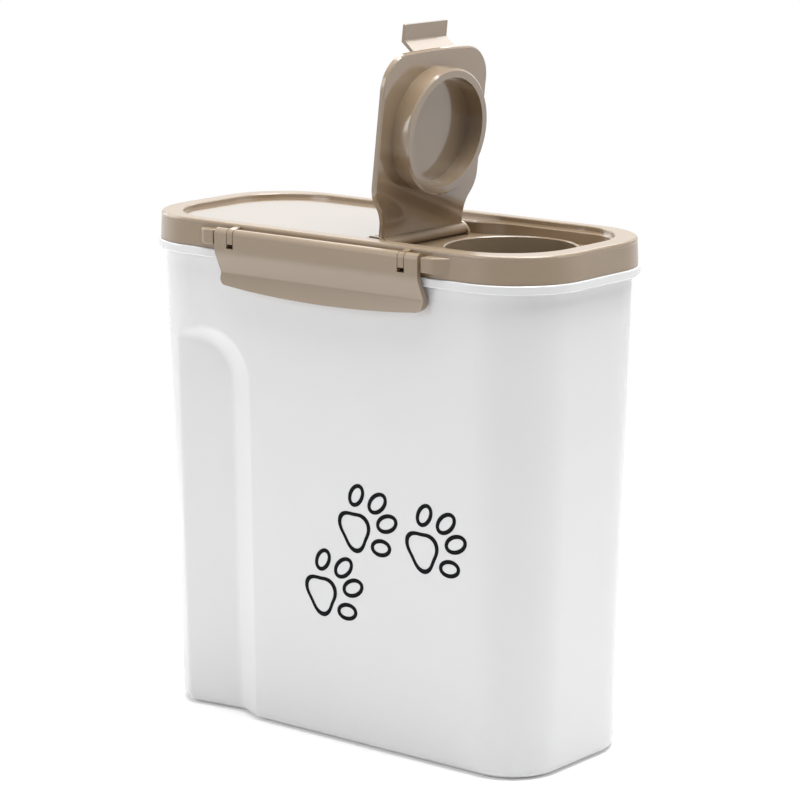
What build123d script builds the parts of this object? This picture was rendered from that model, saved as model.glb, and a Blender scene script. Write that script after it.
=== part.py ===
"""Pet food storage box: a tall narrow keeper with a clip-down lid, two side latches and a pour flap.

Millimetres. +Z is up, +X runs along the box to its pouring end, -Y is the printed front.
The origin is the middle of the face that the box stands on.
"""
import os
from math import cos, radians, sin, tan

from build123d import *

os.makedirs("parts", exist_ok=True)

# Lid seen from above, and its mouldings
lid_length = 240.0
lid_width = 105.0
lid_corner = 36.0
lid_draft = 2.2           # degrees
rim_edge_round = 1.4
rim_inner_bevel = 0.4
skirt_wall = 1.8
lid_plate = 2.0

# Container
container_height = 238.2
draft = 1.375             # degrees: the walls close in towards the base
neck_corner = 31.2
base_round = 4.0
wall = 2.0
floor_thickness = 2.4
foot_height = 0.8
foot_width = 6.0          # at its narrowest, beside the grips
neck_gap = 0.8            # lid's skirt to container's neck, along the long sides
neck_end_gap = 1.6        # and at the two ends
flange_drop = 8.5         # below the container's top edge
flange_height = 4.1
flange_plate = 1.8
flange_wall = 1.6
flange_proud = 0.9        # the flange shows outside the lid's skirt
flange_bevel = 0.4

# Hand grip pressed into the front and the back of the container, near its left end
grip_from_end = 70.5      # the grip's ridge on the front face, from the lid's left end
grip_depth = 5.8
grip_ramp_angle = 22.0    # degrees
grip_slope = 8.5          # degrees: the grip's floor runs out towards the corner of the box
grip_arch = 18.5          # radius of the arch at the top of the grip's floor
grip_arch_z = 166.2
grip_round = 8.0
grip_lead = 0.12          # the ridge's round ends this far outside the front face

# Fits
lid_gap = 0.2             # lid's hem over the flange
plug_gap = 0.8            # lid's plug wall inside the neck
seal_rest = 0.2           # seal over the neck
edge_gap = 0.1            # a loose piece in its seat
pin_clearance = 0.08
side_gap = 0.4            # beside a hinge's knuckles

# Rim and seal of the lid
rim_end_extra = 3.1       # the rim is wider at its two ends
rim_corner = 33.0
rim_step = 2.0            # rim above the glossy panel
plug_wall = 1.5
plug_depth = 7.5          # below the underside of the rim
seal_height = 2.3
seal_width = 3.3

# Pour tube, and the well around it with the flap's hinge
hinge_height = 2.9        # over the well's floor
well_depth = 5.9
well_floor = 1.8
well_wall = 1.8
well_back = 5.7           # from the hinge to the well's left wall
well_side = 2.5           # beside the closed flap
well_end = 1.7            # beyond the closed flap
well_to_rim = 2.5         # from the well's far end to the raised rim
well_corner = 23.0
well_back_corner = 1.5
well_swell_start = -4.0   # the well widens between these two, from the hinge
well_swell_end = 23.0
well_bevel = 0.7
well_bevel_angle = 45.0   # degrees
tube_offset = 50.75       # pour tube's centre from the hinge
tube_bore_radius = 30.0
tube_wall = 1.5
tube_rise = 3.1           # above the well's floor
tube_drop = 4.8           # below the well's floor
tube_bevel = 0.45
ear_thickness = 1.6
ear_reach = 3.0           # from the hinge back to the middle of the ear's curve
ear_round = 6.1
ear_free = 3.0            # between the ear and the well's side

# Pour flap, in its own frame: u runs from its hinge to its free end, w to its outer side
flap_angle = 83.5         # degrees open, as it stands
flap_face = 0.55          # inner face over the hinge's middle
flap_thickness = 3.1
flap_width = 75.6
flap_end = 87.8
flap_bow = 1.6
flap_corner = 16.0
flap_bevel = 0.6
flap_neck_width = 59.2
flap_neck_start = 6.5
flap_neck_end = 27.0
flap_knuckle = 2.4        # radius
flap_tail = 0.8           # the plate runs this far past the hinge
flap_pin = 1.1            # radius
plug_fit = 0.55           # plug ring inside the tube, on the radius
plug_ring_wall = 4.1
plug_ring_height = 9.3
plug_ring_bevel = 0.9
tab_width = 30.6
tab_thickness = 1.8
tab_start = 0.6           # from the flap's end back to the foot of the tab's ramp
tab_run = 4.0
tab_rise = 5.65
tab_lip = 7.3
tab_bend = 0.6
tab_corner = 0.5

# Latch along a long side: d runs outwards from its hinge and h up
latch_length = 121.0
latch_gap = 1.5           # to the lug at each end
latch_below_top = 4.5     # hinge below the lid's top
latch_barrel = 2.6        # radius
latch_skirt_gap = 0.3
latch_plate = 2.5
latch_bend_drop = 8.6
latch_bend_round = 9.0
latch_fold_drop = 19.0
latch_fold_in = 4.6       # the face draws in by this much down to the fold
latch_fold_round = 1.6
latch_lip_angle = 16.5    # degrees outwards
latch_end_drop = 24.2     # lower edge at the latch's two ends
latch_middle_drop = 27.2  # lower edge at mid-length
latch_corner = 4.0
latch_lip_thickness = 2.4
catch_gap = 0.45          # to the flange's lower edge
catch_angle = 33.0        # degrees from upright
catch_depth = 5.4         # nose inwards of the hinge
catch_flat = 2.4
catch_round = 1.2
latch_pin = 1.25          # radius
hook_from_end = 9.5       # hook's middle to the latch's end
hook_width = 3.4
hook_root = 3.4           # top of the hook's root over the hinge
hook_root_drop = 1.6
hook_tail = 4.4
hook_mouth = 1.0          # half of the hook's mouth, less than the pin
slot_side = 0.35
slot_drop = 6.5
lug_length = 12.5
lug_flat = 6.5
lug_proud = 4.8
lug_height = 7.1
lug_bottom = 2.6          # above the hem
lug_round = 5.0
lug_edge_round = 0.6

# Heights and outlines that follow
grip_edge_x = grip_from_end - lid_length / 2
flange_top = container_height - flange_drop
hem_z = flange_top + lid_gap
rim_underside = container_height + seal_rest + seal_height
lid_top = rim_underside + lid_plate
panel_top = lid_top - rim_step
panel_underside = panel_top - lid_plate
well_z = panel_top - well_depth
hinge_z = well_z + hinge_height
tube_outer = tube_bore_radius + tube_wall
neck = (
    lid_length - 2 * (skirt_wall + neck_end_gap),
    lid_width - 2 * (skirt_wall + neck_gap),
    neck_corner,
)
rim_side = skirt_wall + neck_gap + wall + plug_gap + plug_wall
rim_opening = (
    lid_length - 2 * rim_side - 2 * rim_end_extra,
    lid_width - 2 * rim_side,
    rim_corner,
)
hinge_x = rim_opening[0] / 2 - well_to_rim - well_end - flap_end
tube_x = hinge_x + tube_offset
lid_outline = (lid_length, lid_width, lid_corner)
latch_y = lid_width / 2 + latch_skirt_gap + latch_barrel
latch_z = lid_top - latch_below_top
hook_x = latch_length / 2 - hook_from_end


def grown(size, extra):
    """Length, width and corner radius of a rounded rectangle, grown by extra all round."""
    return size[0] + 2 * extra, size[1] + 2 * extra, size[2] + extra


def body_size(z):
    """Outline of the tapering container at height z."""
    return grown(neck, (z - container_height) * tan(radians(draft)))


def grip_tool(grow):
    """Solid that presses the hand grip into the front face; grow offsets it for the inside."""
    turn = radians(grip_slope)
    ramp = radians(grip_ramp_angle)
    lean = radians(draft)
    run = grip_depth / tan(ramp)
    level = Vector(cos(turn), sin(turn), 0)
    upright = Vector(0, -sin(lean), cos(lean))
    foot = Vector(grip_edge_x - run, grip_depth - body_size(0)[1] / 2, 0)
    at_foot = Plane(foot, x_dir=level, z_dir=level.cross(upright))
    along, up, out = at_foot.x_dir, at_foot.y_dir, at_foot.z_dir
    middle = foot - along * grip_arch + up * grip_arch_z
    # The front face in the section's own directions
    face_dir = Vector(cos(turn), sin(turn))
    face_out = Vector(-sin(turn), cos(turn))
    floor_end = Vector(grip_arch + grow * tan((ramp + turn) / 2), -grow)
    ridge = (
        Vector(grip_arch, 0)
        + face_out * (grip_depth + grip_lead - grow)
        + face_dir * ((grip_depth + grip_lead) / tan(ramp) + grow * tan(ramp / 2))
    )
    beyond = ridge + face_dir * 3 * grip_round
    far = beyond.Y + grip_depth
    radii = [grip_round + grow, grip_round - grow]

    def section(plane):
        with BuildSketch(plane) as profile:
            with BuildLine():
                FilletPolyline((0, -grow), floor_end, ridge, beyond, radius=radii)
                Polyline(beyond, (beyond.X, far), (0, far), (0, -grow))
            make_face()
        return profile.sketch

    reach = neck_corner + grip_arch
    depth_down = grip_arch_z + grip_arch
    across = section(Plane(middle, x_dir=along, z_dir=-up))
    over = section(Plane(middle, x_dir=up, z_dir=along))
    with BuildPart() as tool:
        extrude(across, amount=depth_down)
        revolve(across, axis=Axis(middle, out), revolution_arc=90)
        extrude(over, amount=-reach)
        with BuildSketch(Plane(middle - out * grow, x_dir=along, z_dir=out)):
            Rectangle(reach, depth_down, align=(Align.MAX, Align.MAX))
        extrude(amount=far + grow)
    return tool.part


base = body_size(foot_height)

# Container: tapering walls, stepped flange for the latches, hand grips, ring foot
grip = grip_tool(0)
grip_inside = grip_tool(wall)

with BuildPart() as inside:
    floor_z = foot_height + floor_thickness
    with BuildSketch(Plane.XY.offset(floor_z)):
        RectangleRounded(*grown(body_size(floor_z), -wall))
    extrude(amount=container_height - floor_z, taper=-draft)
    chamfer(inside.faces().sort_by(Axis.Z)[0].edges(), base_round - wall)
    add(grip_inside, mode=Mode.SUBTRACT)
    mirror(grip_inside, about=Plane.XZ, mode=Mode.SUBTRACT)

with BuildPart() as flange:
    with BuildSketch(Plane.XY.offset(flange_top - flange_height)):
        RectangleRounded(*grown(lid_outline, flange_proud))
    extrude(amount=flange_height)
    chamfer(flange.faces().filter_by(Axis.Z).edges(), flange_bevel)
    with BuildSketch(Plane.XY.offset(flange_top - flange_height)):
        RectangleRounded(*grown(lid_outline, flange_proud - flange_wall))
    extrude(amount=flange_height - flange_plate, mode=Mode.SUBTRACT)

with BuildPart() as container:
    with BuildSketch(Plane.XY.offset(foot_height)):
        RectangleRounded(*base)
    extrude(amount=container_height - foot_height, taper=-draft)
    fillet(container.faces().sort_by(Axis.Z)[0].edges(), base_round)
    add(grip, mode=Mode.SUBTRACT)
    mirror(grip, about=Plane.XZ, mode=Mode.SUBTRACT)
    under_grips = container.faces().sort_by(Axis.Z)[0].edges().filter_by_position(
        Axis.X, base[2] - base[0] / 2, grip_edge_x
    )
    fillet(under_grips, base_round)
    extrude(container.faces().sort_by(Axis.Z)[0], amount=foot_height)
    with BuildSketch(Plane.XY):
        RectangleRounded(*grown(base, -(base_round + grip_depth + foot_width)))
    extrude(amount=foot_height, mode=Mode.SUBTRACT)
    add(flange.part)
    add(inside.part, mode=Mode.SUBTRACT)
container.part.label = "container"

# Lid: skirt, raised rim, sunk panel, well with pour tube, ears, hooks and lugs
latch_side = Plane((0, -latch_y, latch_z), x_dir=(0, -1, 0), z_dir=(-1, 0, 0))
skirt_at = lid_width / 2 - latch_y      # the skirt's face in the latch's own directions

with BuildPart() as hooks:
    with BuildSketch(latch_side.offset(hook_x)):
        with BuildLine():
            Polyline(
                (skirt_at - skirt_wall / 2, -hook_root_drop),
                (0, -hook_root_drop),
                (0, -hook_tail),
                (latch_barrel, -hook_tail),
                (latch_barrel, 0),
            )
            CenterArc((0, 0), latch_barrel, 0, 90)
            Polyline(
                (0, latch_barrel),
                (skirt_at - skirt_wall / 2, hook_root),
                (skirt_at - skirt_wall / 2, -hook_root_drop),
            )
        make_face()
        Circle(latch_pin + pin_clearance, mode=Mode.SUBTRACT)
        with BuildLine():
            Polyline(
                (-hook_mouth, 0), (hook_mouth, 0), (hook_mouth, -hook_tail),
                (-hook_mouth, -hook_tail), (-hook_mouth, 0),
            )
        make_face(mode=Mode.SUBTRACT)
    extrude(amount=hook_width / 2, both=True)
    mirror(about=Plane.YZ)

with BuildPart() as lugs:
    lug_x = latch_length / 2 + latch_gap
    lug_y = -lid_width / 2 - lug_proud
    with BuildSketch(Plane.XY.offset(hem_z + lug_bottom)) as lug_plan:
        with BuildLine():
            Polyline(
                (lug_x, -lid_width / 2 + skirt_wall / 2),
                (lug_x, lug_y),
                (lug_x + lug_flat, lug_y),
                (lug_x + lug_length, -lid_width / 2 + skirt_wall / 4),
                (lug_x + lug_length, -lid_width / 2 + skirt_wall / 2),
                (lug_x, -lid_width / 2 + skirt_wall / 2),
            )
        make_face()
        slope_corner = lug_plan.vertices().group_by(Axis.Y)[0].sort_by(Axis.X)
        fillet(slope_corner[-1], lug_round)
    extrude(amount=lug_height)
    fillet(lugs.faces().filter_by(Axis.Z).edges().filter_by_position(
        Axis.Y, lug_y - 1, -lid_width / 2 - lug_edge_round), lug_edge_round)
    mirror(about=Plane.YZ)

with BuildPart() as well:
    # Its opening, widening from the hinge towards the pour tube
    with BuildSketch(Plane.XY.offset(well_z)) as well_plan:
        with BuildLine():
            narrow = flap_neck_width / 2 + side_gap + ear_thickness + ear_free
            wide = flap_width / 2 + well_side
            start_x = hinge_x + well_swell_start
            end_x = hinge_x + well_swell_end
            far_x = hinge_x + flap_end + well_end
            Line((hinge_x - well_back, 0), (hinge_x - well_back, narrow))
            Line((hinge_x - well_back, narrow), (start_x, narrow))
            TangentArc(
                (start_x, narrow), ((start_x + end_x) / 2, (narrow + wide) / 2), tangent=(1, 0)
            )
            TangentArc(
                (end_x, wide), ((start_x + end_x) / 2, (narrow + wide) / 2), tangent=(-1, 0)
            )
            Polyline((end_x, wide), (far_x, wide), (far_x, 0))
            mirror(about=Plane.XZ)
        make_face()
        fillet(well_plan.vertices().group_by(Axis.X)[0], well_back_corner)
        fillet(well_plan.vertices().group_by(Axis.X)[-1], well_corner)
    extrude(amount=well_depth + rim_step)
    mouth = well_plan.sketch.moved(Location((0, 0, well_depth - well_bevel)))
    extrude(mouth, amount=well_bevel, taper=-well_bevel_angle)

with BuildPart() as well_shell:
    with BuildSketch(Plane.XY.offset(well_z - well_floor)):
        offset(well_plan.sketch, amount=well_wall)
    extrude(amount=well_floor + well_depth - lid_plate / 2)

with BuildPart() as lid:
    with BuildSketch(Plane.XY.offset(hem_z)):
        RectangleRounded(*lid_outline)
    extrude(amount=lid_top - hem_z, taper=lid_draft)
    fillet(lid.faces().sort_by(Axis.Z)[-1].edges(), rim_edge_round)
    # Sunk panel, then the hollow underside with its plug wall
    with BuildSketch(Plane.XY.offset(panel_top)):
        RectangleRounded(*rim_opening)
    extrude(amount=rim_step, mode=Mode.SUBTRACT)
    chamfer(lid.faces().sort_by(Axis.Z)[-1].inner_wires()[0].edges(), rim_inner_bevel)
    with BuildSketch(Plane.XY.offset(hem_z)):
        RectangleRounded(*grown(lid_outline, -skirt_wall))
    extrude(amount=rim_underside - plug_depth - hem_z, mode=Mode.SUBTRACT)
    with BuildSketch(Plane.XY.offset(rim_underside - plug_depth)):
        RectangleRounded(*grown(lid_outline, -skirt_wall))
        RectangleRounded(*grown(rim_opening, plug_wall), mode=Mode.SUBTRACT)
    extrude(amount=plug_depth, mode=Mode.SUBTRACT)
    with BuildSketch(Plane.XY.offset(rim_underside - plug_depth)):
        RectangleRounded(*rim_opening)
    extrude(amount=panel_underside - rim_underside + plug_depth, mode=Mode.SUBTRACT)
    # Well
    add(well_shell.part)
    add(well.part, mode=Mode.SUBTRACT)
    # Pour tube through the well's floor
    with BuildSketch(Plane.XY.offset(well_z - tube_drop)):
        with Locations((tube_x, 0)):
            Circle(tube_outer)
    extrude(amount=tube_drop + tube_rise)
    with Locations((tube_x, 0, well_z)):
        Hole(tube_bore_radius)
    chamfer(
        lid.edges().filter_by(GeomType.CIRCLE).filter_by_position(
            Axis.Z, well_z + tube_rise - edge_gap, well_z + tube_rise + edge_gap
        ),
        tube_bevel,
    )
    # Ears that carry the flap's pins
    with BuildSketch(Plane.XZ) as ear_plan:
        with BuildLine():
            ear_x = hinge_x - ear_reach
            back_x = hinge_x - well_back - well_wall / 2
            Polyline(
                (ear_x + ear_round, well_z - well_floor / 2),
                (back_x, well_z - well_floor / 2),
                (back_x, well_z + ear_round),
                (ear_x, well_z + ear_round),
            )
            CenterArc((ear_x, well_z), ear_round, 0, 90)
            Line((ear_x + ear_round, well_z), (ear_x + ear_round, well_z - well_floor / 2))
        make_face()
        with Locations((hinge_x, hinge_z)):
            Circle(flap_pin + pin_clearance, mode=Mode.SUBTRACT)
    ear_y = flap_neck_width / 2 + side_gap
    extrude(ear_plan.sketch.moved(Location((0, ear_y + ear_thickness, 0))), amount=ear_thickness)
    extrude(ear_plan.sketch.moved(Location((0, -ear_y, 0))), amount=ear_thickness)
    # Latch hooks and end lugs on both long sides
    add(hooks.part)
    add(lugs.part)
    mirror(hooks.part, about=Plane.XZ)
    mirror(lugs.part, about=Plane.XZ)
lid.part.label = "lid"

# Seal in the channel between the skirt and the plug wall
with BuildPart() as seal:
    with BuildSketch(Plane.XY.offset(rim_underside - seal_height)):
        RectangleRounded(*grown(lid_outline, -skirt_wall - edge_gap))
        RectangleRounded(
            *grown(lid_outline, -skirt_wall - edge_gap - seal_width), mode=Mode.SUBTRACT
        )
    extrude(amount=seal_height)
seal.part.label = "lid_seal"

# Pour flap: plate with a narrow neck, knuckle with pins, plug ring, cranked finger tab
tilt = radians(flap_angle)
flap_plane = Plane(
    (hinge_x, 0, hinge_z), x_dir=(cos(tilt), 0, sin(tilt)), z_dir=(-sin(tilt), 0, cos(tilt))
)
flap_side = Plane(flap_plane.origin, x_dir=flap_plane.x_dir, z_dir=(0, -1, 0))
flap_outer = flap_face + flap_thickness

with BuildPart() as flap:
    with BuildSketch(flap_plane.offset(flap_face)) as plate:
        with BuildLine():
            neck_y = flap_neck_width / 2
            side_y = flap_width / 2
            swell = ((flap_neck_start + flap_neck_end) / 2, (neck_y + side_y) / 2)
            Polyline((-flap_tail, 0), (-flap_tail, neck_y), (flap_neck_start, neck_y))
            TangentArc((flap_neck_start, neck_y), swell, tangent=(1, 0))
            TangentArc((flap_neck_end, side_y), swell, tangent=(-1, 0))
            Line((flap_neck_end, side_y), (flap_end - flap_bow, side_y))
            mirror(about=Plane.XZ)
            ThreePointArc(
                (flap_end - flap_bow, side_y), (flap_end, 0), (flap_end - flap_bow, -side_y)
            )
        make_face()
        end_corners = plate.vertices().filter_by_position(
            Axis.X, flap_end - flap_bow - edge_gap, flap_end
        )
        fillet(end_corners, flap_corner)
    extrude(amount=flap_thickness)
    plate_faces = flap.faces().sort_by(Axis(flap_plane.origin, flap_plane.z_dir))
    chamfer(plate_faces[0].edges() + plate_faces[-1].edges(), flap_bevel)
    # Finger tab, cranked up from the plate's end
    with BuildSketch(flap_side) as tab_profile:
        with BuildLine():
            foot_u = flap_end - tab_start
            fold_u = foot_u + tab_run
            fold_w = flap_outer + tab_rise
            Polyline(
                (foot_u - tab_thickness, flap_face + flap_bevel),
                (foot_u, flap_face + flap_bevel),
                (foot_u, flap_outer - edge_gap),
                (fold_u, fold_w),
                (fold_u + tab_lip, fold_w),
                (fold_u + tab_lip, fold_w + tab_thickness),
                (fold_u - tab_thickness / 2, fold_w + tab_thickness),
                (foot_u - tab_thickness, flap_outer - edge_gap),
                (foot_u - tab_thickness, flap_face + flap_bevel),
            )
        make_face()
        bends = tab_profile.vertices().filter_by_position(
            Axis.X, fold_u - tab_thickness, fold_u + edge_gap
        ).filter_by_position(Axis.Y, fold_w - edge_gap, fold_w + tab_thickness + edge_gap)
        fillet(bends, tab_bend)
    extrude(amount=tab_width / 2, both=True)
    lip_end = flap.faces().sort_by(Axis(flap_plane.origin, flap_plane.x_dir))[-1]
    fillet(lip_end.edges().filter_by(Axis(flap_plane.origin, flap_plane.z_dir)), tab_corner)
    # Knuckle and pins
    with BuildSketch(flap_side):
        Circle(flap_knuckle)
    extrude(amount=flap_neck_width / 2, both=True)
    with BuildSketch(flap_side):
        Circle(flap_pin)
    extrude(amount=flap_neck_width / 2 + side_gap + ear_thickness, both=True)
    # Plug ring
    plug_radius = tube_bore_radius - plug_fit
    with BuildSketch(flap_plane.offset(flap_face - plug_ring_height)):
        with Locations((tube_offset, 0)):
            Circle(plug_radius)
            Circle(plug_radius - plug_ring_wall, mode=Mode.SUBTRACT)
    extrude(amount=plug_ring_height)
    plug_mouth = flap.faces().sort_by(Axis(flap_plane.origin, flap_plane.z_dir))[0]
    chamfer(plug_mouth.outer_wire().edges(), plug_ring_bevel)
flap.part.label = "pour_flap"

# Latches: barrel hung on the lid's hooks, curved plate, catch under the flange, finger lip
catch_slope = radians(catch_angle)
lip_slope = radians(latch_lip_angle)
flange_d = latch_y - lid_width / 2 - flange_proud     # flange's face inwards of the hinge
flange_h = flange_top - flange_height - latch_z       # and its lower edge
catch_top = -flange_d + catch_gap / cos(catch_slope)  # catch's slope at the flange's edge
nose_h = flange_h - (catch_depth + catch_top) / tan(catch_slope)

with BuildPart() as latch_front:
    with BuildSketch(latch_side):
        with BuildLine():
            plate_in = latch_barrel - latch_plate
            bend_h = flange_h - (plate_in - catch_top) / -tan(catch_slope)
            fold_d = latch_barrel - latch_fold_in
            end_d = fold_d + (latch_middle_drop - latch_fold_drop) * tan(lip_slope)
            FilletPolyline(
                (latch_barrel, 0),
                (latch_barrel, -latch_bend_drop),
                (fold_d, -latch_fold_drop),
                (end_d, -latch_middle_drop),
                (end_d - latch_lip_thickness, -latch_middle_drop),
                (-catch_depth, nose_h - catch_flat),
                (-catch_depth, nose_h),
                (plate_in, bend_h),
                (plate_in, 0),
                radius=(
                    latch_bend_round, latch_fold_round, 0, 0, catch_round, catch_round,
                    latch_bend_round,
                ),
            )
            Line((plate_in, 0), (latch_barrel, 0))
        make_face()
        Circle(latch_barrel)
    extrude(amount=latch_length / 2, both=True)
    # Outline seen from the front: bowed lower edge with rounded corners
    with BuildSketch(Plane.XZ.offset(latch_y + latch_barrel)) as face:
        with BuildLine():
            low = latch_z - latch_end_drop
            top = latch_z + latch_barrel
            ThreePointArc(
                (-latch_length / 2, low), (0, latch_z - latch_middle_drop), (latch_length / 2, low)
            )
            Polyline(
                (latch_length / 2, low), (latch_length / 2, top),
                (-latch_length / 2, top), (-latch_length / 2, low),
            )
        make_face()
        fillet(face.vertices().group_by(Axis.Y)[0], latch_corner)
    extrude(amount=-latch_barrel - catch_depth, mode=Mode.INTERSECT)
    # Slots for the hooks, crossed by the hinge pins
    with BuildSketch(Plane.XZ.offset(latch_y)):
        with Locations((-hook_x, latch_z - slot_drop), (hook_x, latch_z - slot_drop)):
            Rectangle(
                hook_width + 2 * slot_side, slot_drop + latch_barrel,
                align=(Align.CENTER, Align.MIN),
            )
    extrude(amount=catch_depth, both=True, mode=Mode.SUBTRACT)
    with BuildSketch(latch_side):
        Circle(latch_pin)
    extrude(amount=hook_x + hook_width, both=True)
latch_front.part.label = "latch_front"

with BuildPart() as latch_back:
    mirror(latch_front.part, about=Plane.XZ)
latch_back.part.label = "latch_back"

for piece in (container, lid, seal, flap, latch_front, latch_back):
    export_step(piece.part, f"parts/{piece.part.label}.step")
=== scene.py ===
"""Pet food storage box, dressed: a white tub, a taupe lid with a pour flap, and two side latches.

Metres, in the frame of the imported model: +Z up, +X to the pouring end, -Y the printed front.
"""
from math import cos, radians, sin

import bpy
from mathutils import Matrix, Vector


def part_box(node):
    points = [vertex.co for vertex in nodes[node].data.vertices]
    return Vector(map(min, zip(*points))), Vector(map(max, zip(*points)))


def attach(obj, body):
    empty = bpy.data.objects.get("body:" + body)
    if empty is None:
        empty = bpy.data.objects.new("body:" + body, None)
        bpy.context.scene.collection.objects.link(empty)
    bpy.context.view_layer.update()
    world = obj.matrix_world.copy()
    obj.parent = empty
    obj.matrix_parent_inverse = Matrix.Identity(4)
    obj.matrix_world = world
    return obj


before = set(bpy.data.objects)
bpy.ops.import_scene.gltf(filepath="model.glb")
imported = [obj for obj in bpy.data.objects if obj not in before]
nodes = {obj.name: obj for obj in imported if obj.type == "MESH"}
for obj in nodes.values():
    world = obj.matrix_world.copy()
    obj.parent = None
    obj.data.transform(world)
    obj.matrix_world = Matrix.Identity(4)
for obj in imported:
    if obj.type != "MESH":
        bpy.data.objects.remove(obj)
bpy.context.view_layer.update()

# Container: a deep tub with a hand grip in each long side and a flange that the latches catch.
# Injection-moulded in one shot from white polypropylene. All mouldings of the box share its skin:
# slow waves where a wall sank as it cooled, the fine peel of a polished mould, a faint cloud.


def add_node(tree, kind, inputs=None, **settings):
    """Put a node in a tree, with its settings and its plain or linked inputs."""
    node = tree.nodes.new(kind)
    for name, value in settings.items():
        setattr(node, name, value)
    for key, value in (inputs or {}).items():
        if isinstance(value, bpy.types.NodeSocket):
            tree.links.new(value, node.inputs[key])
        else:
            node.inputs[key].default_value = value
    return node


def group_socket(tree, name, way, kind, value=None):
    """Name one input or output of a node group."""
    made = tree.interface.new_socket(name=name, in_out=way, socket_type=kind)
    if value is not None:
        made.default_value = value


mm = 0.001
per_metre_cloud = 28.0
per_metre_sink = 13.0
noise_span = (0.3, 0.7)           # where nearly all of the noise lies
rough_swing = 0.08                # how far a moulding's roughness strays, as a share


def moulded_skin():
    """Node group of a moulding's skin; its heights are in millimetres."""
    tree = bpy.data.node_groups.new("moulded_skin", "ShaderNodeTree")
    group_socket(tree, "Colour", "INPUT", "NodeSocketColor")
    for name, value in (("Cloud", 0.01), ("Roughness", 0.3), ("Sink", 0.01), ("Peel", 0.0004),
                        ("Peel Size", 1.2)):
        group_socket(tree, name, "INPUT", "NodeSocketFloat", value)
    group_socket(tree, "Colour", "OUTPUT", "NodeSocketColor")
    group_socket(tree, "Roughness", "OUTPUT", "NodeSocketFloat")
    group_socket(tree, "Height", "OUTPUT", "NodeSocketFloat")
    given = add_node(tree, "NodeGroupInput").outputs
    made = add_node(tree, "NodeGroupOutput")
    place = add_node(tree, "ShaderNodeTexCoord").outputs["Object"]
    fineness = add_node(tree, "ShaderNodeMath", {0: 1.0 / mm, 1: given["Peel Size"]},
                        operation="DIVIDE")
    cloud = add_node(tree, "ShaderNodeTexNoise",
                     {"Vector": place, "Scale": per_metre_cloud, "Detail": 3.0})
    sink = add_node(tree, "ShaderNodeTexNoise",
                    {"Vector": place, "Scale": per_metre_sink, "Detail": 1.0})
    peel = add_node(tree, "ShaderNodeTexNoise",
                    {"Vector": place, "Scale": fineness.outputs[0], "Detail": 1.0})
    darkest = add_node(tree, "ShaderNodeMath", {0: 1.0, 1: given["Cloud"]}, operation="SUBTRACT")
    lightest = add_node(tree, "ShaderNodeMath", {0: 1.0, 1: given["Cloud"]}, operation="ADD")
    shade = add_node(tree, "ShaderNodeMapRange",
                     {"Value": cloud.outputs["Fac"], "From Min": noise_span[0],
                      "From Max": noise_span[1], "To Min": darkest.outputs[0],
                      "To Max": lightest.outputs[0]})
    tinted = add_node(tree, "ShaderNodeVectorMath",
                      {0: given["Colour"], "Scale": shade.outputs[0]}, operation="SCALE")
    uneven = add_node(tree, "ShaderNodeMapRange",
                      {"Value": cloud.outputs["Fac"], "From Min": noise_span[0],
                       "From Max": noise_span[1], "To Min": 1.0 - rough_swing,
                       "To Max": 1.0 + rough_swing})
    rough = add_node(tree, "ShaderNodeMath", {0: given["Roughness"], 1: uneven.outputs[0]},
                     operation="MULTIPLY")
    waves = add_node(tree, "ShaderNodeMath", {0: sink.outputs["Fac"], 1: given["Sink"]},
                     operation="MULTIPLY")
    height = add_node(tree, "ShaderNodeMath",
                      {0: peel.outputs["Fac"], 1: given["Peel"], 2: waves.outputs[0]},
                      operation="MULTIPLY_ADD")
    for name, source in (("Colour", tinted), ("Roughness", rough), ("Height", height)):
        tree.links.new(source.outputs[0], made.inputs[name])
    return tree


skin_tree = moulded_skin()


def moulded(name, colour, **finish):
    """Plastic with the moulded skin; returns the material, its tree, its shader and its skin."""
    material = bpy.data.materials.new(name)
    material.use_nodes = True
    tree = material.node_tree
    shader = tree.nodes["Principled BSDF"]
    skin = add_node(tree, "ShaderNodeGroup", node_tree=skin_tree)
    skin.inputs["Colour"].default_value = (*colour, 1.0)
    for setting, value in finish.items():
        skin.inputs[setting.replace("_", " ").title()].default_value = value
    bump = add_node(tree, "ShaderNodeBump",
                    {"Height": skin.outputs["Height"], "Strength": 1.0, "Distance": mm})
    tree.links.new(skin.outputs["Colour"], shader.inputs["Base Color"])
    tree.links.new(skin.outputs["Roughness"], shader.inputs["Roughness"])
    tree.links.new(bump.outputs["Normal"], shader.inputs["Normal"])
    return material, tree, shader, skin


def dress(node, material):
    """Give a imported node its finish."""
    piece = nodes[node]
    piece.data.materials.clear()
    piece.data.materials.append(material)


tub_white = (0.80, 0.80, 0.805)
tub_index = 1.5
milkiness = 0.1                   # share of the light that runs on inside the wall
milky_depth = 0.003
milky_scale = 0.5
tub_plastic, _, tub_shader, _ = moulded(
    "white_polypropylene", tub_white, roughness=0.24, cloud=0.004, sink=0.02, peel=0.0004)
tub_shader.inputs["IOR"].default_value = tub_index
tub_shader.inputs["Subsurface Weight"].default_value = milkiness
tub_shader.inputs["Subsurface Radius"].default_value = (milky_depth,) * 3
tub_shader.inputs["Subsurface Scale"].default_value = milky_scale
dress("container", tub_plastic)

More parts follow.
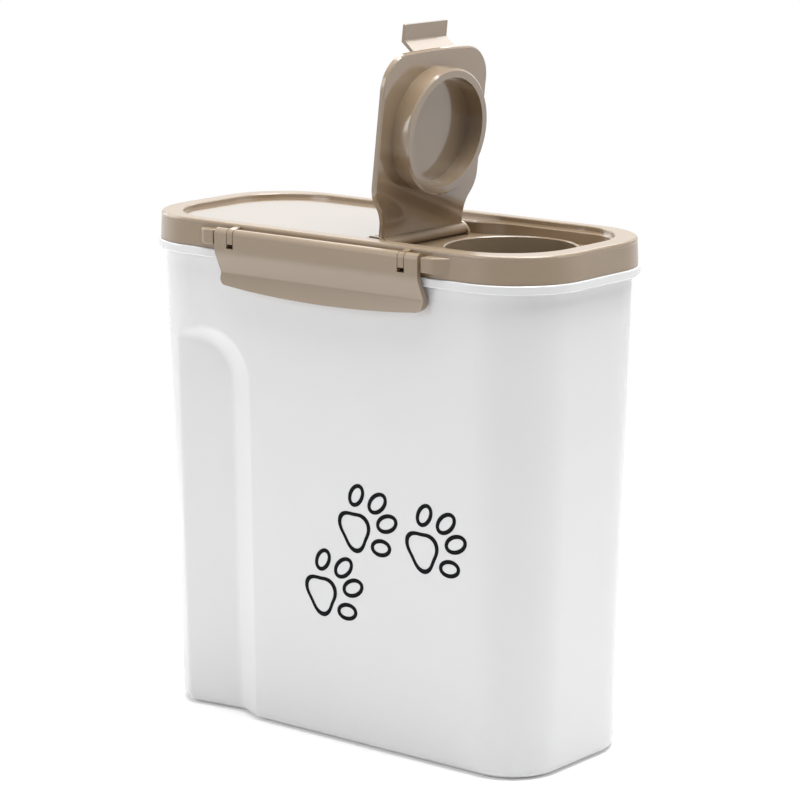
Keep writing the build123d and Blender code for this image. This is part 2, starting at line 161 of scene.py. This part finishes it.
# Print on the front: paw prints walking up the wall, drawn in black line. The ink is screened
# onto the finished tub and cured, a film of a few hundredths of a millimetre that follows the wall.
ink_black = (0.006, 0.006, 0.007)
ink_shine = 0.06
ink_film = 0.00005
ink_over_wall = 0.4               # how far the film's foot stands off the wall, in films
weld_reach = 0.000005
paw_size = 0.036
paw_line = 0.002
paw_count = 3
walk_start = (-0.0065, 0.0835)    # x and z of the first paw on the front face
walk_step = (0.0305, 0.0155)
walk_sway = 0.0105
walk_heading = radians(-58.0)     # from straight up
toe_pads = (                      # across, up, half width, half height and lean, in paw sizes
    (-0.375, 0.13, 0.12, 0.17, 26.0),
    (-0.145, 0.395, 0.125, 0.185, 9.0),
    (0.145, 0.395, 0.125, 0.185, -9.0),
    (0.375, 0.13, 0.12, 0.17, -26.0),
)
heel_pad = (0.0, -0.15, 0.275, 0.25, 0.0)
heel_lobes = -0.13                # how far the heel pad swells at its three corners
pad_points = 64
ink, _, ink_shader, _ = moulded("black_ink", ink_black, roughness=0.6, cloud=0.1, sink=0.0,
                                peel=0.0006, peel_size=0.6)
ink_shader.inputs["Specular IOR Level"].default_value = ink_shine


def pad_outline():
    """Geometry tree of one pad, drawn as a closed line of even width round a lobed oval."""
    tree = bpy.data.node_groups.new("pad_outline", "GeometryNodeTree")
    for name in ("Place", "Half Size"):
        group_socket(tree, name, "INPUT", "NodeSocketVector")
    for name in ("Lean", "Lobes", "Line"):
        group_socket(tree, name, "INPUT", "NodeSocketFloat")
    group_socket(tree, "Geometry", "OUTPUT", "NodeSocketGeometry")
    given = add_node(tree, "NodeGroupInput").outputs
    made = add_node(tree, "NodeGroupOutput")
    oval = add_node(tree, "GeometryNodeCurvePrimitiveCircle",
                    {"Resolution": pad_points, "Radius": 1.0})
    spot = add_node(tree, "GeometryNodeInputPosition").outputs[0]
    along = add_node(tree, "ShaderNodeSeparateXYZ", {0: spot})
    turn = add_node(tree, "ShaderNodeMath", {0: along.outputs["Y"], 1: along.outputs["X"]},
                    operation="ARCTAN2")
    thrice = add_node(tree, "ShaderNodeMath", {0: turn.outputs[0], 1: 3.0}, operation="MULTIPLY")
    wave = add_node(tree, "ShaderNodeMath", {0: thrice.outputs[0]}, operation="SINE")
    swell = add_node(tree, "ShaderNodeMath", {0: wave.outputs[0], 1: given["Lobes"]},
                     operation="MULTIPLY")
    shift = add_node(tree, "ShaderNodeVectorMath", {0: spot, "Scale": swell.outputs[0]},
                     operation="SCALE")
    lobed = add_node(tree, "GeometryNodeSetPosition",
                     {"Geometry": oval.outputs["Curve"], "Offset": shift.outputs[0]})
    line = add_node(tree, "ShaderNodeCombineXYZ", {"X": given["Line"], "Y": given["Line"]})
    hole_size = add_node(tree, "ShaderNodeVectorMath",
                         {0: given["Half Size"], 1: line.outputs[0]}, operation="SUBTRACT")
    edges = add_node(tree, "GeometryNodeJoinGeometry")
    for size in (given["Half Size"], hole_size.outputs[0]):
        edge = add_node(tree, "GeometryNodeTransform",
                        {"Geometry": lobed.outputs[0], "Scale": size})
        tree.links.new(edge.outputs[0], edges.inputs[0])
    filled = add_node(tree, "GeometryNodeFillCurve", {"Curve": edges.outputs[0]})
    lean = add_node(tree, "ShaderNodeCombineXYZ", {"Z": given["Lean"]})
    placed = add_node(tree, "GeometryNodeTransform",
                      {"Geometry": filled.outputs[0], "Translation": given["Place"],
                       "Rotation": lean.outputs[0]})
    tree.links.new(placed.outputs[0], made.inputs[0])
    return tree


def paw_walk():
    """Geometry tree of the whole print: a row of paws, left and right in turn, as a thin film."""
    tree = bpy.data.node_groups.new("paw_walk", "GeometryNodeTree")
    group_socket(tree, "Count", "INPUT", "NodeSocketInt", 3)
    for name in ("Step", "Sway"):
        group_socket(tree, name, "INPUT", "NodeSocketVector")
    for name in ("Heading", "Size", "Line", "Film"):
        group_socket(tree, name, "INPUT", "NodeSocketFloat")
    group_socket(tree, "Ink", "INPUT", "NodeSocketMaterial")
    group_socket(tree, "Geometry", "OUTPUT", "NodeSocketGeometry")
    given = add_node(tree, "NodeGroupInput").outputs
    made = add_node(tree, "NodeGroupOutput")
    outline = pad_outline()
    line = add_node(tree, "ShaderNodeMath", {0: given["Line"], 1: given["Size"]},
                    operation="DIVIDE")
    paw = add_node(tree, "GeometryNodeJoinGeometry")
    for across, up, half_width, half_height, lean in (*toe_pads, heel_pad):
        pad = add_node(tree, "GeometryNodeGroup", node_tree=outline)
        pad.inputs["Place"].default_value = (across, up, 0.0)
        pad.inputs["Half Size"].default_value = (half_width, half_height, 1.0)
        pad.inputs["Lean"].default_value = radians(lean)
        pad.inputs["Lobes"].default_value = heel_lobes if (across, up) == heel_pad[:2] else 0.0
        tree.links.new(line.outputs[0], pad.inputs["Line"])
        tree.links.new(pad.outputs[0], paw.inputs[0])
    row = add_node(tree, "GeometryNodeMeshLine",
                   {"Count": given["Count"], "Offset": given["Step"]})
    which = add_node(tree, "GeometryNodeInputIndex")
    odd = add_node(tree, "ShaderNodeMath", {0: which.outputs[0], 1: 2.0}, operation="MODULO")
    side = add_node(tree, "ShaderNodeMapRange",
                    {"Value": odd.outputs[0], "To Min": -1.0, "To Max": 1.0})
    aside = add_node(tree, "ShaderNodeVectorMath",
                     {0: given["Sway"], "Scale": side.outputs[0]}, operation="SCALE")
    steps = add_node(tree, "GeometryNodeSetPosition",
                     {"Geometry": row.outputs[0], "Offset": aside.outputs[0]})
    turned = add_node(tree, "ShaderNodeCombineXYZ", {"Z": given["Heading"]})
    sized = add_node(tree, "ShaderNodeCombineXYZ",
                     {"X": given["Size"], "Y": given["Size"], "Z": 1.0})
    paws = add_node(tree, "GeometryNodeInstanceOnPoints",
                    {"Points": steps.outputs[0], "Instance": paw.outputs[0],
                     "Rotation": turned.outputs[0], "Scale": sized.outputs[0]})
    flat = add_node(tree, "GeometryNodeRealizeInstances", {0: paws.outputs[0]})
    top = add_node(tree, "GeometryNodeExtrudeMesh",
                   {"Mesh": flat.outputs[0], "Offset Scale": given["Film"], "Individual": False})
    under = add_node(tree, "GeometryNodeFlipFaces", {0: flat.outputs[0]})
    both = add_node(tree, "GeometryNodeJoinGeometry")
    for face in (under.outputs[0], top.outputs["Mesh"]):
        tree.links.new(face, both.inputs[0])
    welded = add_node(tree, "GeometryNodeMergeByDistance",
                      {"Geometry": both.outputs[0], "Distance": weld_reach})
    whole = add_node(tree, "GeometryNodeRealizeInstances", {0: welded.outputs[0]})
    inked = add_node(tree, "GeometryNodeSetMaterial",
                     {"Geometry": whole.outputs[0], "Material": given["Ink"]})
    tree.links.new(inked.outputs[0], made.inputs[0])
    return tree


def grown_piece(name, tree, values):
    """Run a geometry tree by its named inputs and keep what it makes as a plain mesh."""
    carrier = bpy.data.objects.new(name, bpy.data.meshes.new(name + "_start"))
    bpy.context.scene.collection.objects.link(carrier)
    maker = carrier.modifiers.new("maker", "NODES")
    maker.node_group = tree
    for item in tree.interface.items_tree:
        if item.item_type == "SOCKET" and item.in_out == "INPUT" and item.name in values:
            maker[item.identifier] = values[item.name]
    graph = bpy.context.evaluated_depsgraph_get()
    made = bpy.data.meshes.new_from_object(carrier.evaluated_get(graph))
    carrier.modifiers.remove(maker)
    carrier.data = made
    made.name = name
    return carrier


def front_at(x, z):
    """Point of the tub's front face at x and z."""
    found, where, _, _ = nodes["container"].ray_cast(Vector((x, -1.0, z)), Vector((0, 1, 0)))
    assert found
    return where


walk = Vector((*walk_step, 0.0))
sway = Vector((-walk.y, walk.x, 0.0)).normalized() * walk_sway
paws = grown_piece("paw_print", paw_walk(), {
    "Count": paw_count, "Step": walk[:], "Sway": sway[:], "Heading": walk_heading,
    "Size": paw_size, "Line": paw_line, "Film": ink_film, "Ink": ink,
})
start = front_at(*walk_start)
rise = (front_at(walk_start[0], walk_start[1] + paw_size) - start).normalized()
outward = Vector((1, 0, 0)).cross(rise)
to_front = Matrix((Vector((1, 0, 0)), rise, outward)).transposed().to_4x4()
paws.data.transform(Matrix.Translation(start + outward * ink_film * ink_over_wall) @ to_front)
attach(paws, "container")

# Lid: one moulding of taupe polypropylene, with its raised rim, hooks, end lugs, well and pour
# tube. The mould is fine-sanded to a satin, except over the sunk panel, which is polished bright.
taupe = (0.273, 0.197, 0.123)
lid_plastic, lid_tree, lid_shader, lid_skin = moulded(
    "taupe_polypropylene_lid", taupe, roughness=0.32, cloud=0.012, sink=0.012, peel=0.0003)
rim_step = 0.002                  # rim above the panel
taupe_index = 1.6
panel_gloss = 0.1
satin_coat = 0.45
satin_haze = 0.12
panel_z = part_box("lid")[1].z - rim_step
panel_band = rim_step / 8         # heights this near to the panel's count as the panel


def piece_height(tree):
    """Height on the piece itself, which it keeps as it moves."""
    place = add_node(tree, "ShaderNodeTexCoord")
    return add_node(tree, "ShaderNodeSeparateXYZ", {0: place.outputs["Object"]}).outputs["Z"]


on_panel = add_node(lid_tree, "ShaderNodeMath",
                    {0: piece_height(lid_tree), 1: panel_z, 2: panel_band}, operation="COMPARE")
lid_rough = add_node(lid_tree, "ShaderNodeMix",
                     {"Factor": on_panel.outputs[0], "A": lid_skin.outputs["Roughness"],
                      "B": panel_gloss})
lid_coat = add_node(lid_tree, "ShaderNodeMapRange",
                    {"Value": on_panel.outputs[0], "To Min": satin_coat, "To Max": 1.0})
lid_tree.links.new(lid_rough.outputs["Result"], lid_shader.inputs["Roughness"])
lid_tree.links.new(lid_coat.outputs[0], lid_shader.inputs["Coat Weight"])


def lacquer(shader, weight, roughness):
    """The bright outer skin that polypropylene takes from a polished steel mould."""
    for layer in ("IOR", "Coat IOR"):
        shader.inputs[layer].default_value = taupe_index
    shader.inputs["Coat Roughness"].default_value = roughness
    shader.inputs["Coat Weight"].default_value = weight


lacquer(lid_shader, satin_coat, satin_haze)
dress("lid", lid_plastic)

# Seal: a soft pale ring of thermoplastic rubber, moulded apart and pressed by hand into the
# channel under the lid's rim, where it comes down on the edge of the tub.
seal_rubber, _, _, _ = moulded(
    "seal_rubber", (0.6, 0.59, 0.57), roughness=0.6, cloud=0.02, sink=0.01, peel=0.004,
    peel_size=0.5)
dress("lid_seal", seal_rubber)

# Pour flap: a single taupe moulding with its hinge pins, the ring that plugs the pour tube and a
# cranked finger tab. Its pins snap into the ears of the lid. The plate is polished in the mould and
# the knuckle at its foot is left satin.
flap_plastic, flap_tree, flap_shader, flap_skin = moulded(
    "taupe_polypropylene_flap", taupe, roughness=0.2, cloud=0.012, sink=0.012, peel=0.0003)
plate_coat = 1.0
plate_haze = 0.06
knuckle_satin = 0.45
knuckle_height = 0.0049
knuckle_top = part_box("pour_flap")[0].z + knuckle_height
on_plate = add_node(flap_tree, "ShaderNodeMath",
                    {0: piece_height(flap_tree), 1: knuckle_top}, operation="GREATER_THAN")
flap_rough = add_node(flap_tree, "ShaderNodeMix",
                      {"Factor": on_plate.outputs[0], "A": knuckle_satin,
                       "B": flap_skin.outputs["Roughness"]})
flap_tree.links.new(flap_rough.outputs["Result"], flap_shader.inputs["Roughness"])
lacquer(flap_shader, plate_coat, plate_haze)
flap_tree.links.new(on_plate.outputs[0], flap_shader.inputs["Coat Weight"])
dress("pour_flap", flap_plastic)

# Latches: one long taupe moulding on each long side. Each clips over the hooks of the lid and
# turns on its own moulded pins, and its catch snaps under the flange of the tub.
latch_plastic, _, latch_shader, _ = moulded(
    "taupe_polypropylene_latch", taupe, roughness=0.36, cloud=0.012, sink=0.012, peel=0.0003)
latch_coat = 0.6
latch_haze = 0.16
lacquer(latch_shader, latch_coat, latch_haze)
dress("latch_front", latch_plastic)
dress("latch_back", latch_plastic)

# Studio: a pale floor that keeps the box's shadow and runs out into a plain white surround, under
# large soft lamps.
floor_reach = 6.0
shadow_keeps = 0.35               # radius of floor that shows the lamps' light as it falls
shadow_fades = 1.1                # and where it has gone over to plain white
floor_grey = 0.8
floor_roughness = 0.9
floor_shine = 0.1
floor_glow = 0.25                 # what the floor adds to the light it returns, where it is seen


def seen_plainly(tree):
    """One for the rays that see a surface straight or in a reflection, else nothing."""
    ray = add_node(tree, "ShaderNodeLightPath")
    seen = add_node(tree, "ShaderNodeMath",
                    {0: ray.outputs["Is Camera Ray"], 1: ray.outputs["Is Glossy Ray"]},
                    operation="MAXIMUM")
    return ray, seen.outputs[0]


floor_mesh = bpy.data.meshes.new("floor")
floor_mesh.from_pydata(
    [(-floor_reach, -floor_reach, 0), (floor_reach, -floor_reach, 0),
     (floor_reach, floor_reach, 0), (-floor_reach, floor_reach, 0)],
    [], [(0, 1, 2, 3)])
floor = bpy.data.objects.new("floor", floor_mesh)
bpy.context.scene.collection.objects.link(floor)
floor_paint = bpy.data.materials.new("pale_floor")
floor_paint.use_nodes = True
paint_tree = floor_paint.node_tree
matt = paint_tree.nodes["Principled BSDF"]
matt.inputs["Base Color"].default_value = (floor_grey, floor_grey, floor_grey, 1.0)
matt.inputs["Roughness"].default_value = floor_roughness
matt.inputs["Specular IOR Level"].default_value = floor_shine
_, floor_seen = seen_plainly(paint_tree)
lift = add_node(paint_tree, "ShaderNodeMath", {0: floor_seen, 1: floor_glow},
                operation="MULTIPLY")
glow = add_node(paint_tree, "ShaderNodeEmission", {"Strength": lift.outputs[0]})
near = add_node(paint_tree, "ShaderNodeAddShader", {0: matt.outputs[0], 1: glow.outputs[0]})
floor_place = add_node(paint_tree, "ShaderNodeTexCoord")
from_box = add_node(paint_tree, "ShaderNodeVectorMath",
                    {0: floor_place.outputs["Object"]}, operation="LENGTH")
faded = add_node(paint_tree, "ShaderNodeMapRange",
                 {"Value": from_box.outputs["Value"], "From Min": shadow_keeps,
                  "From Max": shadow_fades}, interpolation_type="SMOOTHSTEP")
fade = add_node(paint_tree, "ShaderNodeMath", {0: faded.outputs[0], 1: floor_seen},
                operation="MULTIPLY")
far = add_node(paint_tree, "ShaderNodeEmission", {"Strength": 1.0})
paint = add_node(paint_tree, "ShaderNodeMixShader",
                 {0: fade.outputs[0], 1: near.outputs[0], 2: far.outputs[0]})
paint_tree.links.new(paint.outputs[0], paint_tree.nodes["Material Output"].inputs["Surface"])
floor_mesh.materials.append(floor_paint)

ambient = 0.05                    # the surround's light on the box, against the 1 that is seen
world = bpy.data.worlds.new("studio")
bpy.context.scene.world = world
world.use_nodes = True
sky_tree = world.node_tree
sky = sky_tree.nodes["Background"]
sky.inputs["Color"].default_value = (1.0, 1.0, 1.0, 1.0)
sky_ray, sky_seen = seen_plainly(sky_tree)
sky_clear = add_node(sky_tree, "ShaderNodeMath",
                     {0: sky_seen, 1: sky_ray.outputs["Is Transmission Ray"]},
                     operation="MAXIMUM")
sky_level = add_node(sky_tree, "ShaderNodeMapRange",
                     {"Value": sky_clear.outputs[0], "To Min": ambient, "To Max": 1.0})
sky_tree.links.new(sky_level.outputs[0], sky.inputs["Strength"])

lit_middle = Vector((0.0, 0.0, 0.15))


def softbox(name, place, width, height, power):
    """A rectangular lamp at a place, turned to the middle of the box."""
    lamp = bpy.data.lights.new(name, "AREA")
    lamp.shape = "RECTANGLE"
    lamp.size = width
    lamp.size_y = height
    lamp.energy = power
    holder = bpy.data.objects.new(name, lamp)
    holder.location = place
    holder.rotation_euler = (lit_middle - Vector(place)).to_track_quat("-Z", "Y").to_euler()
    bpy.context.scene.collection.objects.link(holder)


# Place, width and height in metres, power in watts.
softbox("softbox_top", (0.0, 0.0, 1.7), 1.4, 1.4, 26.5)
softbox("softbox_top_back", (-0.5, 1.0, 1.4), 1.4, 1.2, 11.0)
softbox("softbox_left", (-1.7, -0.1, 0.75), 1.5, 1.3, 12.0)
softbox("softbox_front", (-0.6, -1.6, 0.7), 1.0, 1.0, 7.5)
softbox("softbox_right", (1.4, 0.9, 0.6), 1.0, 1.0, 3.2)
softbox("softbox_right_high", (0.6, 0.1, 1.65), 0.9, 0.9, 18.0)

# Camera: where the photograph was taken from, solved from the edges of the lid and the tub.
camera_azimuth = radians(38.98)
camera_rise = radians(12.01)
camera_far = 1.49565
camera_aim = Vector((0.00234, 0.00196, 0.1573))
camera_focal = 142.25
photo_camera = bpy.data.cameras.new("camera")
photo_camera.sensor_width = 36.0
photo_camera.lens = camera_focal
camera = bpy.data.objects.new("camera", photo_camera)
camera_back = Vector((
    sin(camera_azimuth) * cos(camera_rise), -cos(camera_azimuth) * cos(camera_rise),
    sin(camera_rise)))
camera.location = camera_aim + camera_back * camera_far
camera.rotation_euler = (-camera_back).to_track_quat("-Z", "Y").to_euler()
bpy.context.scene.collection.objects.link(camera)
bpy.context.scene.camera = camera
bpy.context.scene.view_settings.view_transform = "Standard"
